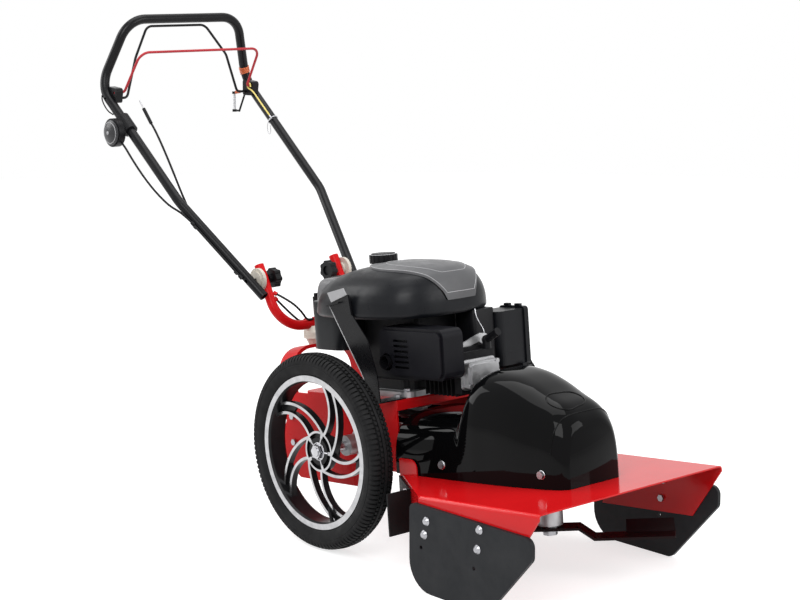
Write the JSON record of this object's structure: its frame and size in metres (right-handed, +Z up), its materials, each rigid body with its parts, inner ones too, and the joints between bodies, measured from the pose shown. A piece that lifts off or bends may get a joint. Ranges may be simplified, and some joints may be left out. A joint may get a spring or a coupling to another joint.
{
  "type": "wheeled string trimmer",
  "caption": "Walk-behind wheeled trimmer with spoked wheels, a belt-driven cutter under an open red deck, side skids, an engine and a swivelling, tilting handlebar.",
  "frame": {"origin": "on the ground, at the middle of the length and width", "axes": "+X forward in the direction of travel, +Y to the left, +Z up"},
  "size_m": [1.496, 0.548, 1.0893],
  "materials": {
    "tyre_rubber": "matte",
    "cast_silver": "satin",
    "bright_steel": "satin",
    "red_paint": "gloss",
    "red_coat": "satin",
    "black_paint": "satin",
    "blade_steel": "satin",
    "skid_plastic": "matte",
    "flap_rubber": "matte",
    "belt_rubber": "matte",
    "gloss_cover": "gloss",
    "shroud_plastic": "matte",
    "panel_plastic": "matte",
    "black_plastic": "matte",
    "cream_cast": "satin"
  },
  "bodies": {
    "chassis": {"axle": "bright_steel", "axle_housings": "cast_silver", "bearings": "bright_steel", "axle_nuts": "bright_steel", "drive_gearbox": "cast_silver", "traction_belt": "belt_rubber", "engine_platform": "red_paint", "right_side_plate": "red_paint", "left_side_plate": "red_paint", "handle_arch": "red_paint", "frame_bolts": "bright_steel", "cutter_deck": "red_paint", "rear_flaps": "flap_rubber", "right_skid": "skid_plastic", "left_skid": "skid_plastic", "skid_bolts": "bright_steel", "belt_cover": "gloss_cover", "spindle_housing": "cast_silver", "cutter_belt": "belt_rubber", "engine_base": "cast_silver", "engine_block": "cast_silver", "rocker_cover": "cast_silver", "muffler": "black_paint", "muffler_guard": "black_paint", "engine_shroud": "shroud_plastic", "tank_panel": "panel_plastic", "air_cleaner_case": "shroud_plastic", "spark_plug": "black_plastic", "exhaust_shield": "black_paint", "swivel_base": "cream_cast"},
    "right_wheel": {"right_tyre": "tyre_rubber", "right_rim": "cast_silver"},
    "left_wheel": {"left_tyre": "tyre_rubber", "left_rim": "cast_silver"},
    "gearbox_input": {"gearbox_pulley": "cast_silver"},
    "cutter": {"spindle_shaft": "bright_steel", "spindle_pulley": "cast_silver", "cutter_blade": "blade_steel", "blade_nut": "black_paint"},
    "crank": {"crankshaft": "bright_steel", "drive_pulley": "cast_silver"},
    "idler": {"idler_arm": "black_paint"},
    "idler_roller": {"idler_pulley": "black_paint"},
    "filler_cap": {"fuel_cap": "black_plastic"},
    "cleaner_door": {"air_cleaner_cover": "shroud_plastic"},
    "starter": {"starter_handle": "black_plastic"},
    "mast": {"swivel_head": "cream_cast", "yoke_tube": "red_paint", "pivot_discs": "cream_cast", "base_cables": "black_plastic"},
    "lock_pin": {"swivel_lock": "black_plastic"},
    "right_clamp": {"right_knob": "black_plastic"},
    "left_clamp": {"left_knob": "black_plastic"},
    "handle": {"handlebar": "black_paint", "throttle_housing": "black_plastic", "control_cables": "black_plastic", "return_spring": "bright_steel"},
    "blade_bail": {"red_bail": "red_coat"},
    "drive_bail": {"black_bail": "black_paint"},
    "throttle": {"throttle_dial": "black_plastic"}
  },
  "joints": [
    {"name": "right_wheel_spin", "type": "hinge", "parent": "chassis", "child": "right_wheel", "pos_m": [0.08478, -0.23, 0.207], "axis": [0, 1, 0], "continuous": true},
    {"name": "left_wheel_spin", "type": "hinge", "parent": "chassis", "child": "left_wheel", "pos_m": [0.08478, 0.23, 0.207], "axis": [0, 1, 0], "continuous": true},
    {"name": "cutter_spin", "type": "hinge", "parent": "chassis", "child": "cutter", "pos_m": [0.50959, 0, 0.25015], "axis": [-0.1011, 0, 0.9949], "continuous": true},
    {"name": "crank_spin", "type": "hinge", "parent": "chassis", "child": "crank", "pos_m": [0.12053, 0, 0.25084], "axis": [-0.1011, 0, 0.9949], "continuous": true},
    {"name": "gearbox_spin", "type": "hinge", "parent": "chassis", "child": "gearbox_input", "pos_m": [0.02006, 0, 0.23058], "axis": [-0.1011, 0, 0.9949], "continuous": true},
    {"name": "idler_swing", "type": "hinge", "parent": "chassis", "child": "idler", "pos_m": [0.34965, -0.08614, 0.2711], "axis": [-0.1011, 0, 0.9949], "range_deg": [0, 4.42]},
    {"name": "idler_spin", "type": "hinge", "parent": "idler", "child": "idler_roller", "pos_m": [0.41738, -0.08614, 0.29707], "axis": [-0.1011, 0, 0.9949], "continuous": true},
    {"name": "fuel_cap_turn", "type": "hinge", "parent": "chassis", "child": "filler_cap", "pos_m": [-0.00496, 0.022, 0.57582], "axis": [-0.1011, 0, 0.9949], "continuous": true},
    {"name": "air_cleaner_door", "type": "hinge", "parent": "chassis", "child": "cleaner_door", "pos_m": [0.24455, 0.1844, 0.35591], "axis": [0.9949, 0, 0.1011], "range_deg": [-35, 0]},
    {"name": "starter_pull", "type": "slide", "parent": "chassis", "child": "starter", "axis": [-0.8973, 0, 0.4415], "range_m": [0, 0.1], "stiffness_N_per_m": 30, "springref_m": -0.15},
    {"name": "handle_swivel", "type": "hinge", "parent": "chassis", "child": "mast", "pos_m": [-0.20227, 0, 0.3828], "axis": [-0.1011, 0, 0.9949], "range_deg": [-25, 25]},
    {"name": "swivel_lock_lift", "type": "slide", "parent": "mast", "child": "lock_pin", "axis": [-0.1011, 0, 0.9949], "range_m": [0, 0.012], "stiffness_N_per_m": 300, "springref_m": -0.02},
    {"name": "right_knob_turn", "type": "hinge", "parent": "mast", "child": "right_clamp", "pos_m": [-0.26263, -0.09, 0.51314], "axis": [0, 1, 0], "continuous": true},
    {"name": "left_knob_turn", "type": "hinge", "parent": "mast", "child": "left_clamp", "pos_m": [-0.26263, 0.09, 0.51314], "axis": [0, 1, 0], "continuous": true},
    {"name": "handle_tilt", "type": "hinge", "parent": "mast", "child": "handle", "pos_m": [-0.26263, 0, 0.51314], "axis": [0, 1, 0], "range_deg": [-12, 12]},
    {"name": "blade_bail_pull", "type": "hinge", "parent": "handle", "child": "blade_bail", "pos_m": [-0.69463, 0, 0.91014], "axis": [0, -1, 0], "range_deg": [0, 32], "stiffness_Nm_per_rad": 0.6, "springref_deg": -34.38},
    {"name": "drive_bail_pull", "type": "hinge", "parent": "handle", "child": "drive_bail", "pos_m": [-0.71063, 0, 0.89614], "axis": [0, 1, 0], "range_deg": [0, 7], "stiffness_Nm_per_rad": 0.8, "springref_deg": -28.65, "deforming": ["return_spring"]},
    {"name": "throttle_turn", "type": "hinge", "parent": "handle", "child": "throttle", "pos_m": [-0.65719, -0.20963, 0.82158], "axis": [0, 1, 0], "range_deg": [-50, 50]}
  ],
  "couplings": [
    {"joint": "crank_spin", "follows": "cutter_spin", "ratio": 1.806},
    {"joint": "gearbox_spin", "follows": "cutter_spin", "ratio": 1.0587},
    {"joint": "idler_swing", "follows": "blade_bail_pull", "ratio": 0.13811}
  ]
}
